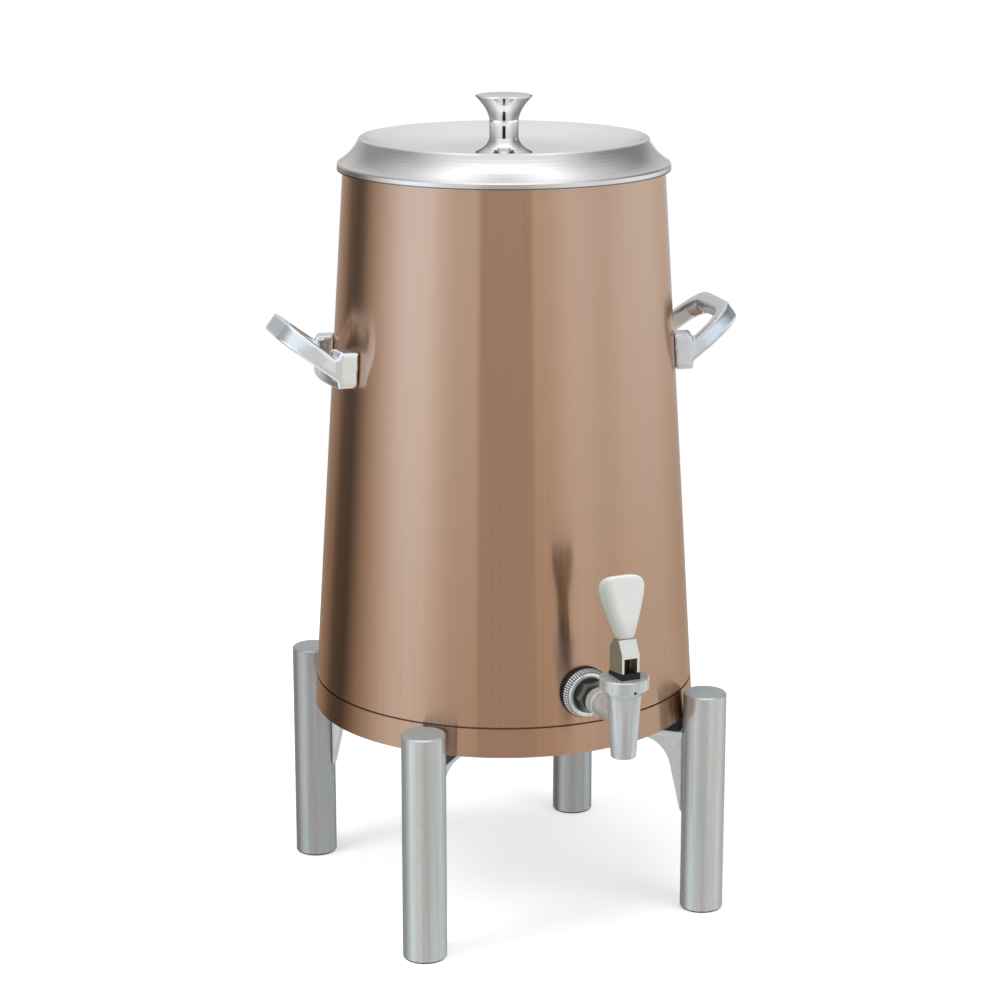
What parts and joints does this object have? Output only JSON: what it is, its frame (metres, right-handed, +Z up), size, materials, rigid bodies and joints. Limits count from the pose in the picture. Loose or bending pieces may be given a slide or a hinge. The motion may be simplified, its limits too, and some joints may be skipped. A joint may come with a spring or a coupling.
{
  "type": "beverage urn",
  "caption": "Tapered insulated beverage urn on round posts, with a dished lift-off lid, loop handles and a self-closing lever faucet.",
  "frame": {"origin": "middle of the footprint of the whole object, on the surface it stands on", "axes": "+Z up; the faucet faces -Y; +X points to the right of a viewer who faces the faucet"},
  "size_m": [0.4194, 0.433, 0.7194],
  "materials": {
    "rose_gold": "satin",
    "sheet_steel": "brushed",
    "fixings": "satin",
    "foam": "matte",
    "lid_chrome": "polished",
    "knob_chrome": "polished",
    "handle_metal": "satin",
    "post_metal": "satin",
    "bracket_metal": "satin",
    "black_rubber": "matte",
    "silicone": "matte",
    "faucet_chrome": "satin",
    "nut_steel": "satin",
    "black_plastic": "matte",
    "lever_steel": "satin",
    "ivory_plastic": "satin"
  },
  "bodies": {
    "urn": {"outer_shell": "rose_gold", "base_band": "rose_gold", "bottom_plate": "sheet_steel", "inner_liner": "sheet_steel", "mouth_ring": "sheet_steel", "left_handle_backing_plate": "sheet_steel", "right_handle_backing_plate": "sheet_steel", "shank_sleeve": "sheet_steel", "handle_bolts": "fixings", "leg_bolts": "fixings", "shank_nut": "fixings", "valve_spring": "fixings", "wall_insulation": "foam", "floor_insulation": "foam", "left_handle": "handle_metal", "right_handle": "handle_metal", "front_left_leg": "post_metal", "front_right_leg": "post_metal", "back_left_leg": "post_metal", "back_right_leg": "post_metal", "front_left_bracket": "bracket_metal", "front_right_bracket": "bracket_metal", "back_left_bracket": "bracket_metal", "back_right_bracket": "bracket_metal", "leg_pads": "black_rubber", "foot_glides": "black_rubber", "faucet_gasket": "black_rubber", "shank_seal": "silicone", "faucet_collar": "faucet_chrome", "coupling_ring": "faucet_chrome", "faucet_body": "faucet_chrome", "faucet_bonnet": "faucet_chrome", "faucet_locknut": "nut_steel", "faucet_shank": "nut_steel", "stem_guide": "black_plastic", "bonnet_set_screw": "black_plastic"},
    "lid": {"lid_shell": "lid_chrome", "lid_pan": "sheet_steel", "lid_insulation": "foam", "lid_gasket": "silicone", "knob_top": "knob_chrome", "knob_foot": "knob_chrome", "knob_screw": "fixings"},
    "stem": {"valve_stem": "black_plastic", "seat_cup": "silicone"},
    "lever": {"lever_bracket": "lever_steel", "lever_pin": "fixings", "lever_paddle": "ivory_plastic"}
  },
  "joints": [
    {"name": "lid_lift", "type": "slide", "parent": "urn", "child": "lid", "axis": [0, 0, 1], "range_m": [0, 0.16]},
    {"name": "stem_lift", "type": "slide", "parent": "urn", "child": "stem", "axis": [0, 0, 1], "range_m": [0, 0.0045], "stiffness_N_per_m": 180, "springref_m": -0.004, "deforming": ["valve_spring"]},
    {"name": "lever_tilt", "type": "hinge", "parent": "stem", "child": "lever", "pos_m": [0, -0.19603, 0.2792], "axis": [1, 0, 0], "range_deg": [0, 25]}
  ],
  "couplings": [
    {"joint": "stem_lift", "follows": "lever_tilt", "m_per_rad": 0.01}
  ]
}
